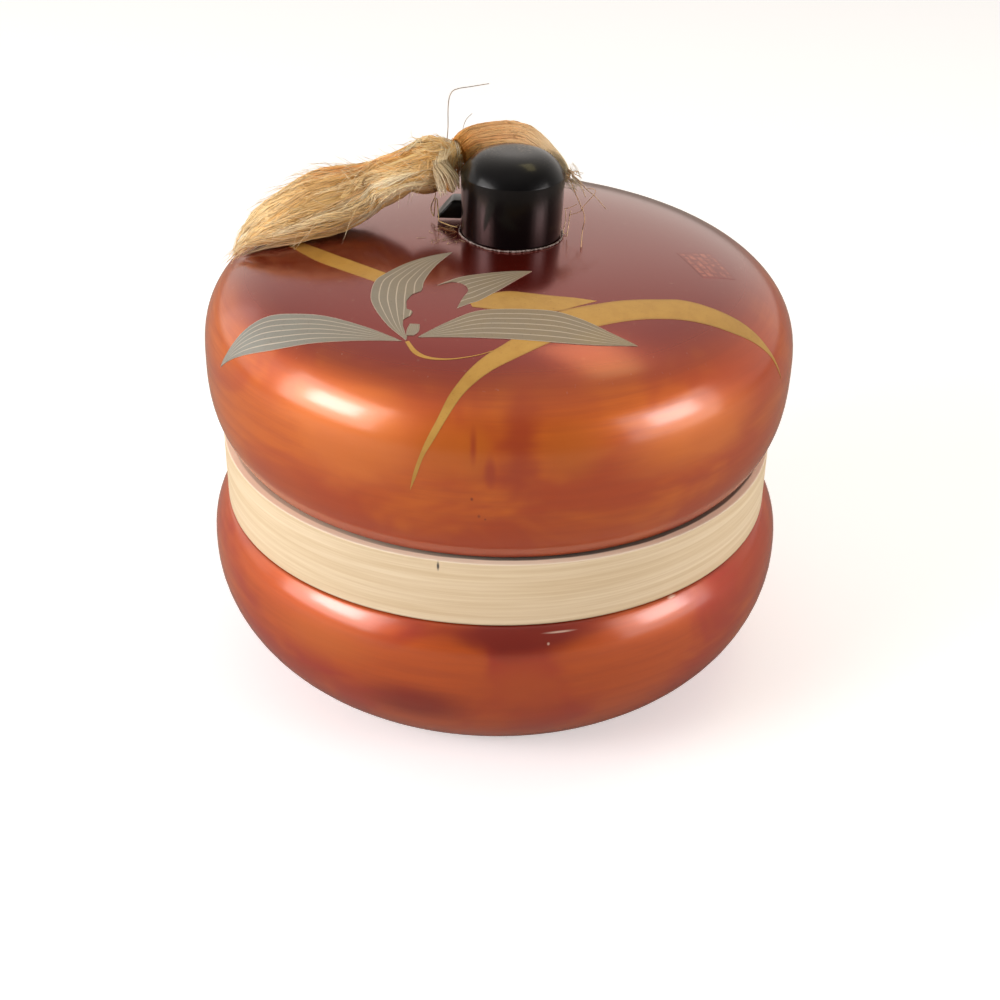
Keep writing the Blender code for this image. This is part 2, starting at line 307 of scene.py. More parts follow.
def lacquer(name, amber, red, top_z, deep_z, shift, blots):
    """Lacquer over foil: amber where it is thin, red in patches, wine red over the lid's top.

    Each blot is (colour, strength, ragged, places), a place being its middle and half widths.
    """
    material, tree, shader = new_material(name)
    spot = coords(tree, "Object")
    x, y, z = axes(spot)
    radius = calc("MAXIMUM", distance(x, y), 0.001)
    # Broad cloudy patches, and the wiping marks that run round the turning
    patches = noise(stretch(spot, (26.0, 26.0, 44.0), (shift, 0.3, 0.0)), 1.0, 3.0, 0.55, 0.6)
    wipe_place = add(tree, "CombineXYZ", {
        0: times(calc("DIVIDE", x, radius), 2.2),
        1: times(calc("DIVIDE", y, radius), 2.2),
        2: times(calc("SUBTRACT", z, radius), 420.0)}).outputs[0]
    wipes = noise(wipe_place, 1.0, 4.0, 0.6)
    fine = noise(stretch(spot, (900.0, 900.0, 260.0)), 1.0, 2.0)
    colour = tint(fade(patches, 0.38, 0.60), red, amber)
    colour = tint(times(fade(wipes, 0.35, 0.75), 0.40), colour, (0.42, 0.062, 0.012))
    over_top = fade(z, top_z - 0.0085, top_z)
    colour = tint(over_top, colour, WINE_RED)
    at_edge = fade(z, deep_z + 0.012, deep_z)
    colour = tint(times(at_edge, 0.55), colour, (0.50, 0.085, 0.034))
    for shade, strength, ragged, places in blots:
        for place, size in places:
            share = blot(spot, place, size, patches if ragged else None)
            colour = tint(times(share, strength), colour, shade)
    specks = times(times(fade(fine, 0.70, 0.78), over_top), 0.5)
    rough = plus(times(wipes, 0.14), 0.47)
    relief = plus(times(wipes, 0.6), times(fine, 0.4))
    feed(shader, {
        "Base Color": tint(specks, colour, (0.55, 0.40, 0.34)),
        "Roughness": mix(over_top, rough, 0.20),
        "Metallic": mix(over_top, 0.42, FOIL_SHINE),
        "Normal": bump(relief, 0.16, 0.0002), "Coat Weight": 1.0, "Coat Roughness": 0.18,
        "Coat IOR": 1.6, "Coat Tint": WARM_COAT})
    return material


outside = bowl_side(0.0, 0.0)
inside = bowl_side(BOWL_WALL, BOWL_FLOOR)
outline = [(0.0, BOWL_FLOOR)] + inside[::-1] + outside + [(0.0, 0.0)]
rim = len(inside)
bowl = turned("lacquer_bowl", outline, {rim: RIM_ROUND, rim + 1: RIM_ROUND})
bowl.data.materials.append(lacquer(
    "bowl_lacquer", (0.60, 0.105, 0.008), (0.46, 0.040, 0.012), 0.20, 0.002, 0.7, [
        # Partly painted highlight: this lighter amber blot lies round the left lamp's highlight on the
        # bowl, the lacquer's amber and the highlight's glow painted together
        ((0.66, 0.165, 0.020), 0.7, True, [((-40.0, -62.0, 37.0), (24.0, 24.0, 8.0))]),
        ((0.22, 0.016, 0.008), 0.9, True, [((8.0, -73.0, 45.0), (34.0, 24.0, 5.0))]),
        ((0.56, 0.100, 0.012), 0.75, False, [((7.0, -73.0, 32.0), (14.0, 24.0, 10.0))]),
        # Painted reflection: this dark red patch on the bowl's front stands for the camera's reflection in
        # the lacquer
        ((0.27, 0.014, 0.005), 0.85, False, [((-18.0, -72.0, 24.5), (17.0, 24.0, 8.0))]),
        ((0.90, 0.75, 0.62), 0.7, False, [
            ((15.5, -71.3, 45.5), (4.6, 4.0, 0.26)), ((42.8, -57.9, 46.7), (1.6, 1.6, 0.35)),
            ((12.9, -73.2, 43.3), (0.4, 2.0, 0.4))])]))
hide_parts("bowl")
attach(bowl, "root")

# Band: a ring of pale bare wood, glued into the bowl's mouth by its tongue.
# Its ledge, which carries the lid, is cut on a slight slant; turning marks run round it.
BAND_HEIGHT = 0.0170
BAND_THICKNESS = 0.0078
BAND_TONGUE_DEPTH = 0.0040
BAND_LIP_HEIGHT = 0.0050
BAND_LEDGE = 0.0026
BAND_ROUND = 0.0004
BAND_SEAM_ROUND = 0.0002
GAP = 0.0003
LIP_CLEARANCE = 0.0004
LEAN = math.radians(0.8)
SEAM_Z = BOWL_HEIGHT + GAP
LEDGE_Z = SEAM_Z + BAND_HEIGHT
LID_EDGE_RADIUS = BOWL_RIM_RADIUS - BAND_LEDGE
LID_WALL = 0.0026
inner = BOWL_RIM_RADIUS - BAND_THICKNESS
tongue = BOWL_RIM_RADIUS - BOWL_WALL - GAP
lip = LID_EDGE_RADIUS - LID_WALL - LIP_CLEARANCE
outline = [
    (inner, LEDGE_Z + BAND_LIP_HEIGHT),
    (lip, LEDGE_Z + BAND_LIP_HEIGHT),
    (lip, LEDGE_Z),
    (BOWL_RIM_RADIUS, LEDGE_Z),
    (BOWL_RIM_RADIUS, SEAM_Z),
    (tongue, SEAM_Z),
    (tongue, SEAM_Z - BAND_TONGUE_DEPTH),
    (inner, SEAM_Z - BAND_TONGUE_DEPTH),
    (inner, LEDGE_Z + BAND_LIP_HEIGHT),
]
band = turned("wood_ring", outline, {0: BAND_ROUND, 1: BAND_ROUND, 3: BAND_ROUND, 4: BAND_SEAM_ROUND})
for vertex in band.data.vertices:
    share = min(max((vertex.co.z - SEAM_Z) / BAND_HEIGHT, 0.0), 1.0)
    vertex.co.z -= vertex.co.x * math.tan(LEAN) * share
material, tree, shader = new_material("bare_pale_wood")
spot = coords(tree, "Object")
grain = noise(stretch(spot, (16.0, 16.0, 900.0)), 1.0, 5.0, 0.65, 0.15)
broad = noise(stretch(spot, (14.0, 14.0, 120.0)), 1.0, 2.0)
colour = tint(fade(grain, 0.30, 0.72), (0.75, 0.585, 0.355), (0.90, 0.76, 0.535))
colour = tint(times(fade(broad, 0.45, 0.75), 0.35), colour, (0.70, 0.53, 0.31))
x, y, z = axes(spot)
# Painted light lightens the ledge, painted shade darkens a line on it along the lid's edge, and the
# lacquer has left a line along the seam
level = plus(z, times(x, math.tan(LEAN)))
ledge = fade(level, LEDGE_Z - 0.0003, LEDGE_Z - 0.00005)
# Painted light: the ledge is lightened to make up for the shadow that the lid's overhanging edge casts on
# it
colour = tint(times(ledge, 0.8), colour, (0.97, 0.88, 0.70))
# Painted shade: a ragged dark line on the ledge along the lid's edge, for the shade in the gap under it,
# stronger towards the right
ragged = times(calc("SUBTRACT", grain, 0.5), -0.0012)
reach = plus(distance(x, y), ragged)
painted_gap_shade = times(ledge, fade(reach, LID_EDGE_RADIUS + 0.0010, LID_EDGE_RADIUS + 0.0005))
painted_gap_shade = times(painted_gap_shade, plus(times(fade(x, -0.045, 0.01), 0.45), 0.45))
colour = tint(painted_gap_shade, colour, (0.07, 0.06, 0.05))
nick = blot(spot, (-12.9, -70.6, 63.0), (0.38, 2.0, 1.5))
colour = tint(nick, colour, (0.03, 0.03, 0.035))
seam = fade(z, SEAM_Z + 0.0005, SEAM_Z + 0.0001)
feed(shader, {
    "Base Color": tint(times(seam, 0.6), colour, (0.30, 0.20, 0.12)),
    "Roughness": plus(times(grain, 0.2), 0.42), "Normal": bump(grain, 0.22, 0.0002)})
band.data.materials.append(material)
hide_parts("wood_band")
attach(band, "root")

# Lid: a hollow dome, turned like the bowl and finished in the same lacquer.
# It lifts off the band's ledge, and its edge is held in place by the band's lip.
LID_RADIUS = 0.0750
LID_WIDEST_Z = 0.0221
LID_CROWN = 0.0306
CROWN_POWER = 2.8
LID_TUCK_POWER = 2.8
CROWN_POINTS = 46
SEAT_Z = LEDGE_Z + GAP
LID_TOP = LID_WIDEST_Z + LID_CROWN
SEAT = Matrix.Translation((0.0, 0.0, SEAT_Z)) @ Matrix.Rotation(LEAN, 4, "Y")


def lid_side(wall):
    """The lid's side from its crown to its edge, the wall's thickness inside its outer face."""
    crown = swell(LID_RADIUS - wall, 0.0, LID_WIDEST_Z, LID_TOP - wall, CROWN_POWER, CROWN_POINTS)
    edge = tuck(LID_RADIUS - wall, LID_EDGE_RADIUS - wall, LID_WIDEST_Z, 0.0, LID_TUCK_POWER, SIDE_POINTS)
    return crown[::-1] + edge[1:]


def set_on_seat(item):
    """Moves a finished piece from the seat's own frame to its place, into its mesh."""
    item.data.transform(SEAT)
    return item


side = lid_side(0.0)
outline = side + lid_side(LID_WALL)[::-1]
lid = turned("lacquer_lid", outline, {len(side) - 1: RIM_ROUND, len(side): RIM_ROUND})
set_on_seat(lid)
lid.data.materials.append(lacquer(
    "lid_lacquer", (0.68, 0.155, 0.008), (0.52, 0.075, 0.008), SEAT_Z + 0.0465, SEAT_Z, 0.0, [
        # Partly painted highlight: these lighter amber blots lie round the two lamp highlights on the
        # lid's belt, the lacquer's amber and the highlights' glow painted together
        ((0.78, 0.225, 0.030), 0.75, True, [
            ((-34.0, -64.0, 94.0), (26.0, 34.0, 13.0)), ((44.0, -58.0, 92.0), (20.0, 24.0, 9.0))]),
        ((0.60, 0.140, 0.006), 0.9, False, [
            ((-12.0, -73.0, 95.0), (9.0, 24.0, 8.5)), ((-4.4, -73.5, 94.5), (4.6, 24.0, 9.5)),
            ((16.5, -72.0, 94.5), (9.5, 24.0, 8.5))]),
        ((0.42, 0.050, 0.010), 0.8, True, [
            ((5.0, -72.0, 98.0), (6.0, 24.0, 18.0)), ((-5.0, -73.7, 96.0), (1.1, 8.0, 5.0)),
            ((-1.2, -74.6, 90.5), (1.6, 8.0, 5.0))]),
        ((0.16, 0.016, 0.008), 0.8, False, [
            ((-5.2, -74.0, 83.5), (0.45, 3.0, 0.6)), ((-3.6, -73.2, 79.0), (0.5, 3.0, 0.7)),
            ((-2.2, -73.4, 78.2), (0.35, 3.0, 0.4))])]))
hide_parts("lid")
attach(lid, "root")

# Inlay: a spray of leaves, cut from thin silver and gold foil and sunk in the lid's lacquer.
# Gold blades lie under four silver leaves with engraved veins; one leaf is half lost, one is chipped.
# Its outlines are in millimetres on a sheet laid flat over the lid, with the lid's middle as zero.
SHEET = lid_side(0.0)
RUN = [0.0]
for (r, z), (next_r, next_z) in zip(SHEET, SHEET[1:]):
    RUN.append(RUN[-1] + math.hypot(next_r - r, next_z - z))
GOLD_LIFT = 0.00006
SILVER_LIFT = 0.00012
SEAL_LIFT = 0.00003
FOIL = 0.00030


def on_lid(u, v, lift):
    """The point of the lid's face under a point of the sheet, raised by lift."""
    reach = math.hypot(u, v) * MM
    step = next((i for i in range(len(RUN) - 2) if RUN[i + 1] >= reach), len(RUN) - 2)
    share = (reach - RUN[step]) / (RUN[step + 1] - RUN[step])
    (r, z), (next_r, next_z) = SHEET[step], SHEET[step + 1]
    rise = Vector((z - next_z, next_r - r)).normalized() * lift
    radius = r + (next_r - r) * share + rise.x
    way = Vector((u, v)).normalized() if reach > 0.0 else Vector((1.0, 0.0))
    return Vector((way.x * radius, way.y * radius, z + (next_z - z) * share + rise.y))


def smooth_rows(rows, count):
    """Rows of numbers, passed through smoothly and read at even steps."""
    last = len(rows) - 1
    result = []
    for index in range(count):
        position = last * index / (count - 1)
        start = min(int(position), last - 1)
        s = position - start
        four = rows[max(start - 1, 0)], rows[start], rows[start + 1], rows[min(start + 2, last)]
        result.append([0.5 * (2.0 * b + (c - a) * s + (2.0 * a - 5.0 * b + 4.0 * c - d) * s ** 2
                              + (3.0 * b - a - 3.0 * c + d) * s ** 3) for a, b, c, d in zip(*four)])
    return result


def even(points, count):
    """A smooth line through points, read at even lengths."""
    fine = [Vector(row) for row in smooth_rows(points, 12 * len(points))]
    lengths = [0.0]
    for first, second in zip(fine, fine[1:]):
        lengths.append(lengths[-1] + (second - first).length)
    result = []
    for index in range(count):
        want = lengths[-1] * index / (count - 1)
        step = next((i for i in range(len(fine) - 2) if lengths[i + 1] >= want), len(fine) - 2)
        share = (want - lengths[step]) / max(lengths[step + 1] - lengths[step], 1e-9)
        result.append(fine[step].lerp(fine[step + 1], min(share, 1.0)))
    return result


def reading(table, at):
    """The value of a table of (place, value) pairs at a place."""
    for (start, first), (end, second) in zip(table, table[1:]):
        if at <= end:
            return first + (second - first) * (at - start) / (end - start)
    return table[-1][1]


def film(item):
    """Gives a sheet that lies on the lid its thickness, down into the lacquer."""
    body = item.modifiers.new("film", "SOLIDIFY")
    body.thickness = FOIL
    body.offset = -1.0
    bpy.ops.object.modifier_apply(modifier=body.name)
    bpy.ops.object.shade_smooth_by_angle(angle=math.radians(40.0))


def foil(name, near, far, long, wide, lift, lost_side=None, lost_start=None):
    """A foil between two edges that run from base to tip; lost_side and lost_start are its breaks."""
    item = fresh(bpy.ops.mesh.primitive_grid_add, name, x_subdivisions=long, y_subdivisions=wide, size=1.0)
    near, far = even(near, 8 * long + 1), even(far, 8 * long + 1)
    spots = []
    for vertex in item.data.vertices:
        along, across = vertex.co.x + 0.5, vertex.co.y + 0.5
        if lost_side:
            across *= reading(lost_side, along)
        if lost_start:
            start = reading(lost_start, across)
            along = start + (1.0 - start) * along
        place = min(int(along * 8 * long + 0.5), 8 * long)
        point = near[place].lerp(far[place], across)
        vertex.co = on_lid(point.x, point.y, lift)
        spots.append((along, across))
    sheet = item.data.uv_layers.active.data
    for loop in item.data.loops:
        sheet[loop.index].uv = spots[loop.vertex_index]
    bpy.ops.object.mode_set(mode="EDIT")
    bpy.ops.mesh.select_all(action="SELECT")
    bpy.ops.mesh.remove_doubles(threshold=2.5 * SAME_PLACE)
    bpy.ops.mesh.normals_make_consistent(inside=False)
    bpy.ops.object.mode_set(mode="OBJECT")
    middle = item.data.polygons[len(item.data.polygons) // 2]
    if middle.normal.dot(middle.center) < 0.0:
        item.data.flip_normals()
    film(item)
    return item


def joined(items, name):
    """Several meshes made one piece, set on the seat."""
    bpy.ops.object.select_all(action="DESELECT")
    for item in items:
        item.select_set(True)
    bpy.context.view_layer.objects.active = items[0]
    bpy.ops.object.join()
    items[0].name = items[0].data.name = name
    return set_on_seat(items[0])


gold = joined([
    foil("long_blade",
         [(-23.9, -90.4), (-21.9, -86.3), (-19.0, -81.7), (-17.1, -78.8), (-14.2, -74.6), (-11.5, -69.7),
          (-9.2, -66.3), (-6.6, -62.8), (-3.0, -58.9), (1.6, -54.8), (7.4, -48.4), (13.3, -42.9),
          (22.7, -38.1), (28.8, -35.4),
          (37.1, -32.6), (42.8, -30.8), (49.3, -30.6), (56.5, -31.2), (61.8, -32.3), (66.5, -33.7),
          (71.8, -34.7), (76.5, -35.2)],
         [(-23.9, -90.4), (-21.4, -87.3), (-18.3, -82.6), (-15.2, -79.0), (-12.2, -75.0), (-8.5, -69.8),
          (-5.3, -66.4), (-1.7, -63.3), (2.1, -60.7), (6.1, -57.9), (10.1, -55.0), (16.4, -50.6),
          (22.3, -47.0), (28.5, -43.8), (34.5, -41.3),
          (42.3, -38.9), (48.9, -37.8), (55.2, -37.1), (61.8, -36.0), (67.5, -35.4), (72.2, -35.4),
          (76.5, -35.2)], 110, 6, GOLD_LIFT),
    foil("short_blade",
         [(-8.0, -39.0), (0.7, -35.7), (6.0, -36.0), (11.5, -36.6), (17.0, -36.8), (22.0, -37.3)],
         [(-6.6, -42.6), (-1.0, -43.6), (5.0, -44.0), (12.6, -43.0), (17.4, -40.2), (22.0, -37.3)],
         30, 5, GOLD_LIFT),
    foil("back_blade",
         [(-57.0, 5.0), (-50.2, -3.4), (-45.3, -9.2), (-40.0, -14.9), (-34.0, -20.6), (-28.4, -25.5),
          (-25.0, -28.2)],
         [(-60.0, 3.6), (-53.5, -4.1), (-48.8, -11.2), (-44.0, -17.5), (-37.0, -24.2), (-29.9, -30.1),
          (-26.4, -32.8)],
         50, 5, GOLD_LIFT),
    foil("stem",
         [(-20.6, -54.0), (-18.6, -57.3), (-15.6, -59.3), (-10.8, -60.0), (-4.9, -59.0), (-0.4, -57.1)],
         [(-21.5, -54.2), (-19.4, -58.0), (-15.9, -59.9), (-10.8, -60.3), (-4.9, -59.2), (-0.4, -57.25)],
         36, 4, GOLD_LIFT + 0.00002),
], "gold_blades")
material, tree, shader = new_material("dull_gold_foil")
spot = coords(tree, "Object")
cloud = noise(spot, 260.0, 4.0, 0.65)
grit = noise(spot, 1900.0, 2.0)
colour = tint(fade(cloud, 0.32, 0.68), (0.56, 0.30, 0.055), (0.62, 0.35, 0.070))
colour = tint(times(fade(grit, 0.62, 0.78), 0.4), colour, (0.30, 0.12, 0.03))
across = axes(coords(tree, "UV"))[1]
rubbed = calc("ABSOLUTE", calc("SUBTRACT", across, 0.5))
colour = tint(times(fade(rubbed, 0.40, 0.50), 0.55), colour, (0.36, 0.16, 0.04))
feed(shader, {
    "Base Color": colour, "Roughness": plus(times(cloud, 0.25), 0.36),
    "Normal": bump(grit, 0.2, 0.0001), "Metallic": 0.45, "Coat Weight": 0.5,
    "Coat Roughness": 0.2})
gold.data.materials.append(material)
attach(gold, "root")

silver = joined([
    foil("left_leaf",
         [(-22.2, -53.9), (-31.2, -47.7), (-40.7, -41.8), (-48.7, -38.2), (-54.9, -36.0), (-60.6, -36.1),
          (-68.2, -38.0), (-74.3, -38.5)],
         [(-22.2, -53.9), (-35.7, -51.4), (-42.3, -50.0), (-54.7, -47.1), (-68.8, -40.9), (-74.3, -38.5)],
         60, 12, SILVER_LIFT),
    foil("upper_leaf",
         [(-21.3, -53.8), (-25.9, -47.9), (-29.5, -40.3), (-30.3, -35.3), (-29.5, -29.7), (-26.8, -26.2),
          (-22.6, -22.0), (-17.3, -18.4), (-12.1, -16.2)],
         [(-21.3, -53.8), (-20.0, -47.3), (-18.6, -41.6), (-18.2, -36.8), (-18.1, -31.2), (-15.7, -23.4),
          (-12.1, -16.2)], 60, 14, SILVER_LIFT + 0.00003,
         lost_side=[(0.0, 1.0), (0.03, 1.0), (0.05, 0.70), (0.13, 0.62), (0.19, 0.66), (0.21, 0.86),
                    (0.26, 0.90), (0.28, 0.72), (0.36, 0.70), (0.43, 0.80), (0.47, 0.97), (0.52, 1.0),
                    (1.0, 1.0)]),
    foil("broken_leaf",
         [(-15.0, -33.2), (-11.4, -30.5), (-8.7, -29.0), (-3.3, -27.3), (2.1, -26.0), (7.0, -25.5)],
         [(-10.1, -43.2), (-7.2, -41.2), (-5.0, -39.9), (-0.7, -35.3), (3.2, -30.4), (7.0, -25.5)],
         40, 14, SILVER_LIFT,
         lost_start=[(0.0, 0.0), (0.07, 0.16), (0.2, 0.22), (0.4, 0.25), (0.58, 0.22), (0.8, 0.09),
                     (1.0, 0.0)]),
    foil("right_leaf",
         [(-18.6, -53.1), (-17.5, -52.2), (-11.2, -47.7), (-5.8, -44.4), (0.8, -43.3), (11.4, -43.1),
          (18.1, -45.3), (24.9, -48.9), (31.1, -51.6)],
         [(-18.6, -53.1), (-11.6, -53.5), (-1.8, -53.9), (11.4, -54.2), (21.4, -53.6), (31.1, -51.6)],
         60, 12, SILVER_LIFT + 0.00002),
    foil("chip",
         [(-21.4, -52.2), (-21.2, -50.2), (-20.6, -48.4)],
         [(-19.6, -52.4), (-18.5, -51.0), (-18.4, -48.8)], 8, 4, SILVER_LIFT + 0.00004),
], "silver_leaves")
material, tree, shader = new_material("engraved_silver_foil")
spot = coords(tree, "Object")
across = axes(coords(tree, "UV"))[1]
VEINS = 6.0
VEIN_WIDTH = 0.10
ripple = calc("FRACT", plus(times(across, VEINS), 0.5))
from_vein = calc("ABSOLUTE", calc("SUBTRACT", ripple, 0.5))
vein = fade(from_vein, VEIN_WIDTH, VEIN_WIDTH * 0.35)
cloud = noise(spot, 190.0, 4.0, 0.6)
grit = noise(spot, 2300.0, 2.0)
along_spray = fade(axes(spot)[0], -0.066, 0.006)
colour = tint(along_spray, (0.295, 0.300, 0.262), (0.340, 0.265, 0.170))
colour = tint(times(fade(cloud, 0.35, 0.7), 0.4), colour, (0.30, 0.26, 0.21))
colour = tint(times(vein, 0.85), colour, (0.66, 0.56, 0.44))
colour = tint(times(fade(grit, 0.60, 0.72), 0.25), colour, (0.13, 0.09, 0.06))
relief = plus(vein, times(grit, 0.3))
feed(shader, {
    "Base Color": colour, "Roughness": plus(times(cloud, 0.2), 0.40),
    "Normal": bump(relief, 0.35, 0.0001), "Metallic": 0.35})
silver.data.materials.append(material)
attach(silver, "root")

# Seal: a small square stamped on the lid in red pigment, so faded that it hardly shows.
# Its strokes are plain bars and no writing; the lid's lacquer shows between them.
seal = fresh(bpy.ops.mesh.primitive_grid_add, "red_seal", x_subdivisions=12, y_subdivisions=14, size=1.0)
SEAL_MIDDLE = Vector((50.6, -9.6))
SEAL_TURN = Matrix.Rotation(math.radians(-62.0), 2)
SEAL_LONG, SEAL_WIDE = 12.4, 10.6
for vertex in seal.data.vertices:
    point = SEAL_MIDDLE + SEAL_TURN @ Vector((vertex.co.x * SEAL_LONG, vertex.co.y * SEAL_WIDE))
    vertex.co = on_lid(point.x, point.y, SEAL_LIFT)
film(seal)
set_on_seat(seal)
material, tree, shader = new_material("faded_red_pigment")
sheet = coords(tree, "UV")
spot = coords(tree, "Object")
bars = add(tree, "TexBrick", {
    "Vector": sheet, "Color1": (1.0, 1.0, 1.0, 1.0), "Color2": (0.55, 0.55, 0.55, 1.0),
    "Mortar": (0.0, 0.0, 0.0, 1.0), "Scale": 1.0, "Mortar Size": 0.035, "Mortar Smooth": 0.3,
    "Brick Width": 0.34, "Row Height": 0.20}).outputs[0]
wear = noise(spot, 420.0, 4.0, 0.7)
u, v = axes(sheet)[:2]
inset = calc("MINIMUM", calc("MINIMUM", u, calc("SUBTRACT", 1.0, u)),
             calc("MINIMUM", v, calc("SUBTRACT", 1.0, v)))
inked = times(fade(inset, 0.02, 0.09), fade(wear, 0.40, 0.60))
inked = times(inked, times(bars, 0.85))
feed(shader, {
    "Base Color": tint(inked, WINE_RED, (0.58, 0.16, 0.09)), "Roughness": 0.22,
    "Metallic": FOIL_SHINE, "Coat Weight": 1.0, "Coat Roughness": 0.13, "Coat Tint": WARM_COAT})
seal.data.materials.append(material)
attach(seal, "root")

# Knob: a short post with a domed top, black lacquer, glued a little off the lid's middle.
# A small lug of the same black stands out behind its left side; dust lies on its top.
KNOB_RADIUS = 0.0127
KNOB_BASE_RADIUS = 0.0124
KNOB_SIDE_HEIGHT = 0.0150
KNOB_DOME = 0.0057
KNOB_DOME_POWER = 4.2
KNOB_EDGE = 0.0009
KNOB_FOOT_ROUND = 0.0004
KNOB_X = 0.0021
KNOB_Y = -0.0027
KNOB_STEPS = 96
LUG_REACH = 0.0065
LUG_DEPTH = 0.0055
LUG_HEIGHT = 0.0048
LUG_BEHIND = 0.0080
LUG_LIFT = 0.0010
LUG_EDGE = 0.0006
LUG_SLOPE = 0.85
DOME_POINTS = 18


def dome_height(radius):
    """Height of the knob's dome over its side, at a distance from its middle."""
    return KNOB_DOME * (1.0 - min(radius / KNOB_RADIUS, 1.0) ** KNOB_DOME_POWER)


outline = []
for index in range(DOME_POINTS + 1):
    radius = KNOB_RADIUS * math.sin(0.5 * math.pi * index / DOME_POINTS)
    outline.append((radius, KNOB_SIDE_HEIGHT + dome_height(radius)))
outline += [(KNOB_BASE_RADIUS, 0.0), (0.0, 0.0)]
knob = turned("black_knob", outline, {DOME_POINTS: KNOB_EDGE, DOME_POINTS + 1: KNOB_FOOT_ROUND},
              KNOB_STEPS)
knob.data.transform(Matrix.Translation((KNOB_X, KNOB_Y, LID_TOP + GAP)))
length = KNOB_BASE_RADIUS + LUG_REACH
lug = fresh(bpy.ops.mesh.primitive_cube_add, "lug", size=1.0)
bpy.ops.object.mode_set(mode="EDIT")
bpy.ops.transform.resize(value=(length, LUG_DEPTH, LUG_HEIGHT))
bpy.ops.mesh.bevel(offset=LUG_EDGE, segments=4)
lug_z = LID_TOP + LUG_LIFT + 0.5 * LUG_HEIGHT
bpy.ops.transform.translate(value=(KNOB_X - 0.5 * length, KNOB_Y + LUG_BEHIND, lug_z))
bpy.ops.object.mode_set(mode="OBJECT")
for vertex in lug.data.vertices:
    if vertex.co.x < KNOB_X - 0.5 * length:
        vertex.co.x += LUG_SLOPE * (vertex.co.z - lug_z + 0.5 * LUG_HEIGHT)
bpy.ops.object.select_all(action="DESELECT")
knob.select_set(True)
bpy.context.view_layer.objects.active = knob
join = knob.modifiers.new("lug", "BOOLEAN")
join.operation = "UNION"
join.object = lug
bpy.ops.object.modifier_apply(modifier=join.name)
bpy.data.objects.remove(lug, do_unlink=True)
bpy.ops.object.shade_smooth_by_angle(angle=math.radians(35.0))
set_on_seat(knob)
material, tree, shader = new_material("gloss_black_lacquer")
spot = coords(tree, "Object")
dust = noise(spot, 1500.0, 3.0, 0.8)
drift = noise(spot, 160.0, 2.0)
x, y, z = axes(spot)
on_top = fade(z, SEAT_Z + LID_TOP + 0.0160, SEAT_Z + LID_TOP + 0.0205)
at_back = fade(y, -0.010, 0.004)
dusty = times(times(on_top, at_back), fade(drift, 0.35, 0.65))
specks = times(dusty, fade(dust, 0.50, 0.68))
haze = times(fade(drift, 0.4, 0.8), 0.002)
grey = plus(times(specks, 0.55), haze, True)
feed(shader, {
    "Base Color": tint(grey, (0.0018, 0.0016, 0.0020), (0.50, 0.41, 0.28)),
    "Roughness": plus(times(drift, 0.10), 0.25), "Specular IOR Level": 0.15,
    "Coat Weight": 1.0, "Coat Roughness": 0.14, "Coat IOR": 1.27})
knob.data.materials.append(material)
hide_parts("knob")
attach(knob, "root")

# Glue line: a thin whitish bead round the foot of the knob, where old glue and dust have set.
GLUE_STEPS, GLUE_SIDES = 220, 8
GLUE_RADIUS = 0.0002
glue = fresh(bpy.ops.mesh.primitive_torus_add, "glue_line", major_segments=GLUE_STEPS,
             minor_segments=GLUE_SIDES, major_radius=KNOB_BASE_RADIUS + GLUE_RADIUS,
             minor_radius=GLUE_RADIUS)
draw = random.Random(11)
bulges = [draw.uniform(-1.0, 1.0) for index in range(GLUE_STEPS)]
for index, vertex in enumerate(glue.data.vertices):
    ring = index // GLUE_SIDES
    out = Vector((vertex.co.x, vertex.co.y, 0.0)).normalized()
    grow = 0.00012 * bulges[ring] + 0.0002 * math.sin(ring * 0.13)
    vertex.co += out * grow
    vertex.co.z *= 1.0 + 0.5 * bulges[ring]
    vertex.co += Vector((KNOB_X, KNOB_Y, LID_TOP + 0.0001))
bpy.ops.object.shade_smooth_by_angle(angle=math.radians(60.0))
set_on_seat(glue)
material, tree, shader = new_material("dusty_glue")
crumb = noise(coords(tree, "Object"), 1400.0, 3.0, 0.7)
colour = tint(fade(crumb, 0.40, 0.60), (0.10, 0.065, 0.055), (0.42, 0.34, 0.30))
feed(shader, {"Base Color": colour, "Roughness": 0.85})
glue.data.materials.append(material)
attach(glue, "root")

# Tassel: one hank of silk floss. It runs round the back of the knob as a strap, is knotted at
# its left, and lies on the lid as a soft skirt; a short lock hangs down beside the knob.
# Sizes in the rows are shares of the tassel's own length, spread and depth.
STRAP_THICKNESS = 0.0044
STRAP_WIDTH = 0.0110
STRAP_START = math.radians(12.0)
STRAP_END = math.radians(152.0)
STRAP_RISE = 0.0025
STRAP_SAG = 0.0045
STRAP_LEAN = math.radians(14.0)
TASSEL_LENGTH = 0.0530
TASSEL_SPREAD = 0.0210
TASSEL_DEPTH = 0.0148
LOCK_LENGTH = 0.0105
LOCK_WIDTH = 0.0058
LOCK_DEPTH = 0.0042
LOCK_BEHIND = 0.0028
SILK_CLEARANCE = 0.0004
STRAP_CLEARANCE = 0.0005
LOCK_CLEARANCE = 0.0010
FILAMENT = 0.00011
FINE_FILAMENT = 0.00010
STRAP_FILAMENT = 0.00013
FLYAWAY = 0.00006
THREAD = 0.00016
CREAM = Vector((1.00, 0.88, 0.62))
STRAW = Vector((1.00, 0.72, 0.31))
HONEY = Vector((0.96, 0.51, 0.11))
ORANGE = Vector((0.94, 0.33, 0.03))
SHADE = Vector((0.48, 0.22, 0.06))
PEACH = Vector((1.00, 0.64, 0.38))
GREY = Vector((0.42, 0.39, 0.35))
draw = random.Random(23)
between = draw.uniform
silk_points, silk_faces, silk_colours = [], [], []


def lid_height(x, y):
    """Height of the lid's outer face over a point of its seat."""
    share = min(math.hypot(x, y) / LID_RADIUS, 1.0)
    return LID_WIDEST_Z + LID_CROWN * (1.0 - share ** CROWN_POWER) ** (1.0 / CROWN_POWER)


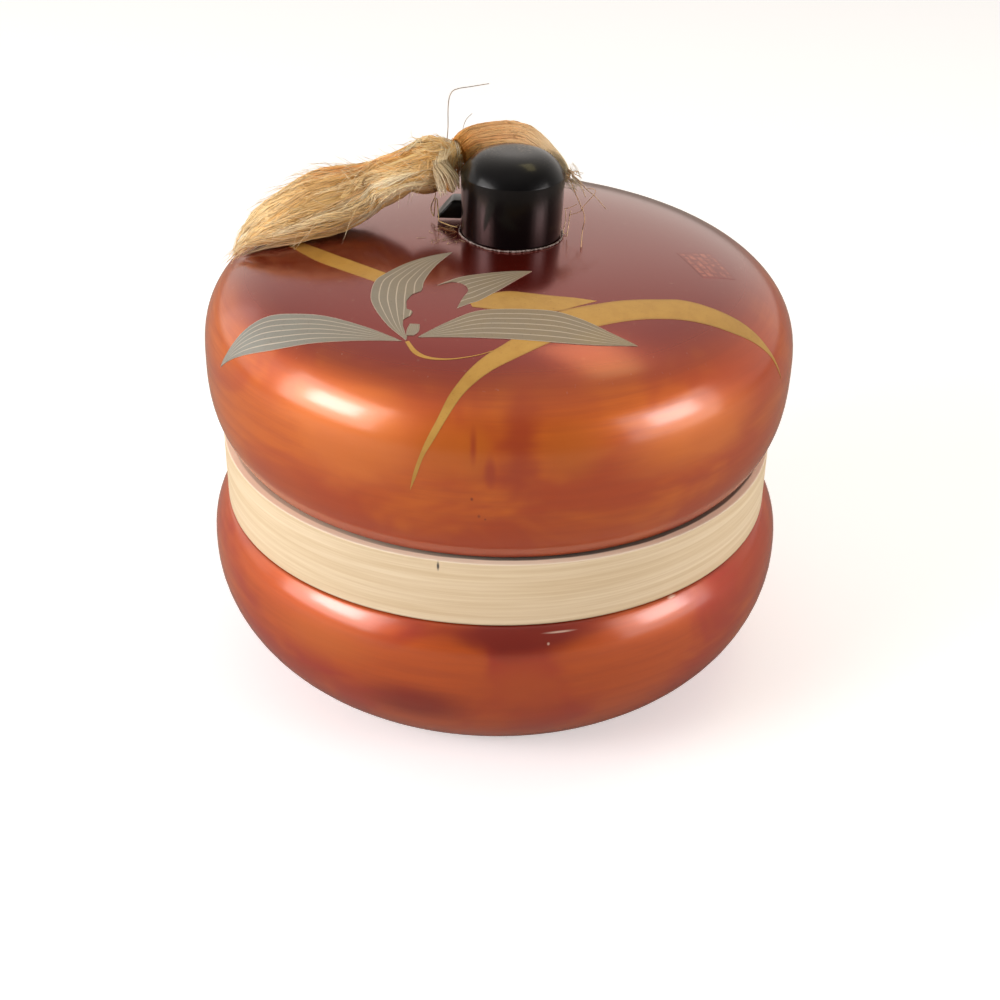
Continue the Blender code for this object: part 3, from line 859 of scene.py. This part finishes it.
def kept_clear(point, spare):
    """Moves a point of the silk out of the knob, its lug and the lid."""
    away = Vector((point.x - KNOB_X, point.y - KNOB_Y, 0.0))
    least = KNOB_RADIUS + spare
    over_knob = LID_TOP + KNOB_SIDE_HEIGHT + dome_height(away.length)
    if away.length < least and point.z < over_knob + spare:
        away = away.normalized() * least
        point = Vector((KNOB_X + away.x, KNOB_Y + away.y, point.z))
    floor = lid_height(point.x, point.y) + spare
    beside = abs(point.y - KNOB_Y - LUG_BEHIND) < 0.5 * LUG_DEPTH + spare
    if beside and KNOB_X > point.x > KNOB_X - KNOB_BASE_RADIUS - LUG_REACH - spare:
        floor = max(floor, LID_TOP + LUG_LIFT + LUG_HEIGHT + spare)
    point.z = max(point.z, floor)
    return point


def hank(rows, lean=0.0, count=64):
    """Frames along a hank: middle, sideways, upward, half width and half depth."""
    stations = smooth_rows(rows, count)
    frames = []
    for index, station in enumerate(stations):
        after, before = stations[min(index + 1, count - 1)], stations[max(index - 1, 0)]
        ahead = Vector(after[:3]) - Vector(before[:3])
        across = ahead.cross(Vector((0.0, 0.0, 1.0))).normalized()
        upward = across.cross(ahead).normalized()
        spin = Matrix.Rotation(lean, 3, ahead.normalized())
        frames.append((Vector(station[:3]), spin @ across, spin @ upward, station[3], station[4]))
    return frames


def on_hank(frames, along, angle, out):
    """A point of a hank: its place along it, the angle round it and its share of the half sizes."""
    position = min(max(along, 0.0), 1.0) * (len(frames) - 1)
    index = min(int(position), len(frames) - 2)
    share = position - index
    pairs = zip(frames[index], frames[index + 1])
    middle, across, upward, wide, deep = (a + (b - a) * share for a, b in pairs)
    past = max(along - 1.0, 0.0)
    if past:
        middle = middle + (frames[-1][0] - frames[-4][0]) * past * (len(frames) - 1) / 3.0
    return middle + across * wide * out * math.cos(angle) + upward * deep * out * math.sin(angle)


def silk_at(frames, along, angle, out):
    """A point of a hank, kept clear of what it lies on."""
    return kept_clear(on_hank(frames, along, angle, out), SILK_CLEARANCE)


def strand(points, radius, first, last, taper=0.55):
    """A three-sided filament along points, with its colour running from first to last."""
    start = len(silk_points)
    count = len(points)
    for index, point in enumerate(points):
        ahead = points[min(index + 1, count - 1)] - points[max(index - 1, 0)]
        side = ahead.cross(Vector((0.13, 0.21, 0.97))).normalized()
        up = side.cross(ahead).normalized()
        share = index / (count - 1)
        thick = radius * (1.0 - (1.0 - taper) * abs(2.0 * share - 1.0) ** 3)
        for corner in (0.5236, 2.618, 4.7124):
            out = side * (thick * math.cos(corner)) + up * (thick * math.sin(corner))
            silk_points.append(point + out)
            silk_colours.append(first.lerp(last, share))
    for index in range(count - 1):
        low = start + 3 * index
        for corner in range(3):
            after = (corner + 1) % 3
            silk_faces.append((low + corner, low + after, low + 3 + after, low + 3 + corner))
    silk_faces.append((start + 2, start + 1, start))
    silk_faces.append((start + 3 * count - 3, start + 3 * count - 2, start + 3 * count - 1))


def core(frames, fill, colour, rings, sides):
    """The closed body of a hank under its outer strands."""
    start = len(silk_points)
    for ring in range(rings):
        share = ring / (rings - 1)
        inside = fill * min(1.0, 0.5 + 6.0 * share, 0.1 + 6.0 * (1.0 - share))
        for side in range(sides):
            silk_points.append(silk_at(frames, share, 2.0 * math.pi * side / sides, inside))
            silk_colours.append(colour)
    for ring in range(rings - 1):
        for side in range(sides):
            after = (side + 1) % sides
            low = start + ring * sides
            silk_faces.append((low + side, low + after, low + sides + after, low + sides + side))
    silk_faces.append(tuple(start + side for side in reversed(range(sides))))
    silk_faces.append(tuple(start + (rings - 1) * sides + side for side in range(sides)))


# The skirt's stations: left and back along the lid, lift, spread and depth
SKIRT = [
    (-0.04, 0.17, 0.80, 0.33, 0.54), (0.05, 0.14, 0.62, 0.52, 0.84), (0.12, 0.08, 0.56, 0.62, 0.88),
    (0.21, 0.05, 0.62, 0.54, 0.68), (0.27, 0.05, 0.48, 0.58, 0.74), (0.35, 0.07, 0.32, 0.68, 0.76),
    (0.46, 0.07, 0.13, 0.86, 0.92), (0.58, 0.06, 0.04, 1.00, 1.00), (0.71, 0.06, 0.01, 1.00, 0.88),
    (0.84, 0.07, 0.01, 0.78, 0.70), (0.93, 0.08, 0.01, 0.50, 0.46), (1.00, 0.10, 0.01, 0.19, 0.20)]
start_x = KNOB_X - KNOB_RADIUS - 0.5 * STRAP_THICKNESS - STRAP_CLEARANCE
rows = []
for left, back, lift, spread, depth in SKIRT:
    x, y = start_x - left * TASSEL_LENGTH, KNOB_Y + back * TASSEL_LENGTH
    half_depth = 0.5 * depth * TASSEL_DEPTH
    rows.append((x, y, lid_height(x, y) + half_depth + lift * TASSEL_DEPTH,
                 0.5 * spread * TASSEL_SPREAD, half_depth))
skirt = hank(rows)
# The strap's: place along it, sag and size
STRAP = [(0.00, 0.84, 0.24), (0.15, 0.72, 0.40), (0.31, 0.52, 0.64), (0.43, 0.28, 0.86),
         (0.56, 0.02, 1.00), (0.79, 0.10, 1.00), (0.90, 0.16, 0.95), (1.00, 0.24, 0.85)]
rows = []
for along, sag, size in STRAP:
    angle = STRAP_START + (STRAP_END - STRAP_START) * along
    radius = KNOB_RADIUS + STRAP_CLEARANCE + 0.5 * STRAP_THICKNESS * size
    rows.append((KNOB_X + radius * math.cos(angle), KNOB_Y + radius * math.sin(angle),
                 LID_TOP + KNOB_SIDE_HEIGHT + STRAP_RISE - sag * STRAP_SAG,
                 0.5 * STRAP_THICKNESS * size, 0.5 * STRAP_WIDTH * size))
strap = hank(rows, STRAP_LEAN)
lock_x = KNOB_X - KNOB_RADIUS - 0.5 * LOCK_WIDTH - LOCK_CLEARANCE
# The lock's: left, down, back and size
LOCK = [(0.30, -0.34, -0.26, 0.60), (0.12, -0.06, -0.45, 0.90), (-0.16, 0.20, -0.62, 1.15),
        (-0.36, 0.44, -0.75, 1.30)]
lock = hank([(lock_x - left * LOCK_WIDTH, KNOB_Y + LOCK_BEHIND + back * LOCK_WIDTH,
              LID_TOP + KNOB_SIDE_HEIGHT - LOCK_LENGTH * down, 0.5 * LOCK_WIDTH * size,
              0.5 * LOCK_DEPTH * size) for left, down, back, size in LOCK])
core(skirt, 0.93, STRAW * 0.88, 60, 28)
core(strap, 0.88, HONEY * 0.90, 40, 18)
# Painted shade: the lock's core is coloured SHADE, so it shows dark between the pale filaments
core(lock, 0.45, SHADE, 12, 12)


def tuft(start, end, turn, bend, wide, proud, filaments, thick, begin, finish, steps=10):
    """A lens-shaped lock of filaments on the skirt's hank, raised in its middle."""
    wave, phase, flick = between(0.04, 0.15), between(0.0, 6.3), between(-0.25, 0.9)
    for filament in range(filaments):
        place = between(-1.0, 1.0)
        first, last = start + draw.gauss(0.0, 0.02), end + draw.gauss(0.0, 0.025)
        ripple, own = between(0.004, 0.014), between(0.0, 6.3)
        points = []
        for step in range(steps):
            share = step / (steps - 1)
            fill = math.sin(math.pi * (0.06 + 0.90 * share) ** 0.8)
            angle = (turn + bend * share ** 1.5 + wave * math.sin(5.0 * share + phase)
                     + wide * place * (0.15 + fill) + ripple * 3.0 * math.sin(19.0 * share + own))
            out = 0.94 + proud * fill * (1.0 - 0.7 * place ** 2) + ripple * math.sin(23.0 * share + own)
            out += 0.16 * flick * max(share - 0.72, 0.0) / 0.28
            along = max(first + (last - first) * share, 0.0)
            points.append(silk_at(skirt, along, angle, out))
        # Painted shade: filaments towards a tuft's sides are darker than those in its middle; the random
        # spread is the silk's own tone
        edge = between(0.80, 1.20) * (1.0 - 0.16 * place ** 2)
        strand(points, thick, begin * edge, finish * edge)


# The skirt lies in soft locks that part, cross and curl; its roots are rusty on top
for number in range(92):
    turn = between(0.05, 1.42) * math.pi if number % 4 else between(1.42, 2.05) * math.pi
    start = 0.15 + 0.60 * ((number * 0.618) % 1.0) ** 1.15
    end = min(start + between(0.24, 0.50), between(0.93, 1.05))
    tone = draw.random()
    rusty = 1.5 * max(math.sin(turn), 0.0) * max(0.0, 1.0 - abs(start - 0.34) / 0.15)
    begin = STRAW.lerp(HONEY, 0.8 * tone).lerp(ORANGE, min(rusty, 0.95))
    # Painted shade: locks that lie on the skirt's underside are mixed towards SHADE
    under = max(-math.sin(turn) - 0.35, 0.0)
    begin = begin.lerp(SHADE, 0.35 * under)
    finish = CREAM.lerp(STRAW, 0.8 * tone).lerp(SHADE, 0.25 * under)
    tuft(start, end, turn, draw.gauss(0.10, 0.42), between(0.12, 0.26), between(0.0, 0.15),
         14, FILAMENT, begin, finish)
# Pale wisps come off the waist and fall over the front of the skirt
for number in range(10):
    start = between(0.19, 0.30)
    tuft(start, start + between(0.18, 0.34), between(0.80, 1.15) * math.pi,
         between(0.15, 0.75), 0.13, between(0.08, 0.22), 12, FINE_FILAMENT,
         CREAM.lerp(STRAW, draw.random()), CREAM * 1.08)
# The knot's locks cross slantwise round it; painted shade darkens those on its underside, for the dark
# hollows between them
for number in range(34):
    start = between(-0.01, 0.15)
    tone = draw.random()
    begin = STRAW.lerp(HONEY, tone) if number % 3 else CREAM.lerp(STRAW, tone)
    turn = between(0.0, 2.0) * math.pi
    begin = begin.lerp(SHADE, 0.55 * max(-math.sin(turn), 0.0))
    tuft(start, start + between(0.07, 0.15), turn, draw.choice((-1.0, 1.0)) * between(0.4, 1.5),
         between(0.16, 0.34), between(0.0, 0.16), 15, FILAMENT, begin, begin.lerp(CREAM, 0.3), 8)

# The strap's filaments run side by side, and fray where they end at the right
for number in range(500):
    angle = between(0.0, 2.0 * math.pi)
    out = between(0.90, 1.03)
    first, last = between(-0.02, 0.12), between(0.93, 1.0)
    drift, phase = between(-0.35, 0.35), between(0.0, 6.3)
    points = []
    for step in range(13):
        share = step / 12
        along = max(first + (last - first) * share, 0.0)
        ripple = 0.025 * math.sin(9.0 * share + phase)
        points.append(silk_at(strap, along, angle + drift * share, out + ripple))
    colour = HONEY.lerp(ORANGE, draw.random()).lerp(STRAW, 0.25 * draw.random()) * between(0.90, 1.16)
    strand(points, STRAP_FILAMENT, CREAM, colour)

# The lock comes out of the knot and fans down beside the knob: pale straight filaments
for number in range(210):
    angle = between(0.0, 2.0 * math.pi)
    out, last = between(0.3, 1.15), between(0.45, 1.0)
    rows = [on_hank(skirt, between(0.03, 0.11), between(0.50, 0.80) * math.pi, 1.0)]
    rows += [on_hank(lock, 0.15 + (last - 0.15) * step / 4, angle, out) for step in range(5)]
    points = [kept_clear(Vector(row), SILK_CLEARANCE) for row in smooth_rows(rows, 11)]
    strand(points, FINE_FILAMENT, CREAM.lerp(STRAW, 0.5 * draw.random()), CREAM * between(0.9, 1.1))

# Flyaways that stand off the skirt and the knot
for number in range(260):
    along = between(0.02, 0.98)
    angle = between(-0.6, math.pi + 0.6)
    length = between(0.05, 0.16)
    rise = between(0.15, 0.55)
    bend = between(-0.9, 0.9)
    points = []
    for step in range(7):
        share = step / 6
        points.append(silk_at(skirt, along + length * share, angle + bend * share ** 2,
                              1.0 + rise * share ** 1.5))
    strand(points, FLYAWAY, STRAW, CREAM, 0.25)


def thread(points, radius, colour, steps=22):
    """One loose thread through points of the seat's frame, in millimetres."""
    line = [kept_clear(Vector(row) * MM, radius + 0.0001) for row in smooth_rows(points, steps)]
    strand(line, radius, colour, colour, 0.8)


thread([(-14.6, 8.0, 70.0), (-14.2, 8.0, 74.9), (-14.2, 8.0, 80.7), (-13.5, 8.0, 83.9), (-12.0, 8.0, 85.0),
        (-9.0, 8.0, 85.6), (-4.3, 8.0, 86.5)], THREAD, GREY, 34)
thread([(-11.0, 8.0, 72.0), (-10.3, 8.0, 75.8), (-9.6, 8.0, 77.6), (-8.3, 8.0, 79.0)], FINE_FILAMENT, GREY)
thread([(-17.0, 7.0, 58.0), (-18.2, 6.9, 54.6), (-16.7, 3.0, 53.4), (-13.6, -0.4, 53.3),
        (-11.3, -1.9, 53.3)], THREAD, STRAW)
# The tie is wound round the throat between knot and strap
for turn in range(2):
    points = []
    for step in range(17):
        angle = 2.0 * math.pi * step / 16
        along = 0.012 + 0.010 * turn + 0.012 * step / 16
        points.append(silk_at(skirt, along, angle, 1.08))
    strand(points, 0.00014, CREAM, CREAM, 1.0)
# The strap's frayed end: bent loose threads, drawn as the camera sees them, in (across, up);
# what would sink into the lid lies on it, nearer the camera
FRAYED = [
    [(15.5, 68.3), (18.4, 65.4), (20.1, 61.8)], [(17.0, 63.9), (18.7, 60.4), (19.5, 58.3)],
    [(15.5, 69.2), (17.6, 67.1), (20.4, 64.2), (22.3, 62.7), (25.2, 59.5)],
    [(20.4, 63.9), (22.0, 63.9), (22.3, 62.7), (19.8, 59.5), (19.0, 58.0), (16.2, 57.0)],
    [(15.0, 59.1), (16.5, 59.5), (18.0, 60.4)], [(19.4, 59.5), (20.1, 56.6), (19.7, 53.3), (19.1, 49.8)],
    [(16.5, 58.9), (16.2, 55.7), (15.8, 52.2)], [(15.3, 58.6), (15.5, 55.4), (14.8, 52.3), (15.9, 52.4)],
    [(15.3, 69.2), (17.0, 68.0), (18.7, 67.1)], [(15.1, 67.7), (16.2, 65.9), (17.0, 63.9)],
    [(15.4, 68.6), (16.8, 68.3), (17.9, 68.6)],
]
for line in FRAYED:
    back = between(-3.0, -1.0)
    thread([(across, back - 2.8 * max(53.0 - up, 0.0), max(up, 53.0)) for across, up in line],
           between(FILAMENT, THREAD), PEACH.lerp(CREAM, 0.4 * draw.random()), 16)
for number in range(60):
    across, up = between(14.6, 17.0), between(65.0, 69.5)
    thread([(across, between(-3.0, 3.0), up),
            (across + between(0.2, 1.4), -1.0, up - between(0.0, 1.5)),
            (across + between(0.4, 3.2), -1.5, up - between(0.0, 3.5))],
           FLYAWAY, CREAM.lerp(GREY, 0.6 * draw.random()), 8)
# Lint and a few brown fibres lie on the lid at the knob's left
LINT = Vector((0.20, 0.14, 0.10))
LINT_LIFT = 0.12
for number in range(46):
    x, y = draw.gauss(-13.5, 2.6), between(-11.0, 1.0)
    turn, length, bow = between(0.0, 6.3), between(0.8, 2.6), between(-0.8, 0.8)
    points = []
    for step in range(5):
        share = step / 4 - 0.5
        px = x + math.cos(turn) * length * share - math.sin(turn) * bow * share ** 2
        py = y + math.sin(turn) * length * share + math.cos(turn) * bow * share ** 2
        points.append((px, py, lid_height(px * MM, py * MM) / MM + LINT_LIFT))
    thread(points, 0.00004, LINT.lerp(STRAW, draw.random() * 0.7), 6)

mesh = bpy.data.meshes.new("silk_tassel")
mesh.from_pydata(silk_points, [], silk_faces)
shades = mesh.color_attributes.new("silk_colour", "FLOAT_COLOR", "POINT")
for index, colour in enumerate(silk_colours):
    shades.data[index].color = (*colour, 1.0)
mesh.shade_smooth()
silk = bpy.data.objects.new("silk_tassel", mesh)
bpy.context.scene.collection.objects.link(silk)
set_on_seat(silk)
material, tree, shader = new_material("silk_floss")
dyed = add(tree, "Attribute", {}, attribute_name="silk_colour").outputs["Color"]
mottle = noise(coords(tree, "Object"), 330.0, 3.0)
spots = times(fade(mottle, 0.35, 0.75), 0.20)
feed(shader, {
    "Base Color": tint(spots, dyed, (0.86, 0.50, 0.15)),
    "Roughness": plus(times(mottle, 0.15), 0.42), "Specular IOR Level": 0.3,
    "Sheen Weight": 0.25, "Sheen Roughness": 0.4, "Sheen Tint": (1.0, 0.74, 0.42, 1.0)})
silk.data.materials.append(material)
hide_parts("tassel")
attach(silk, "root")
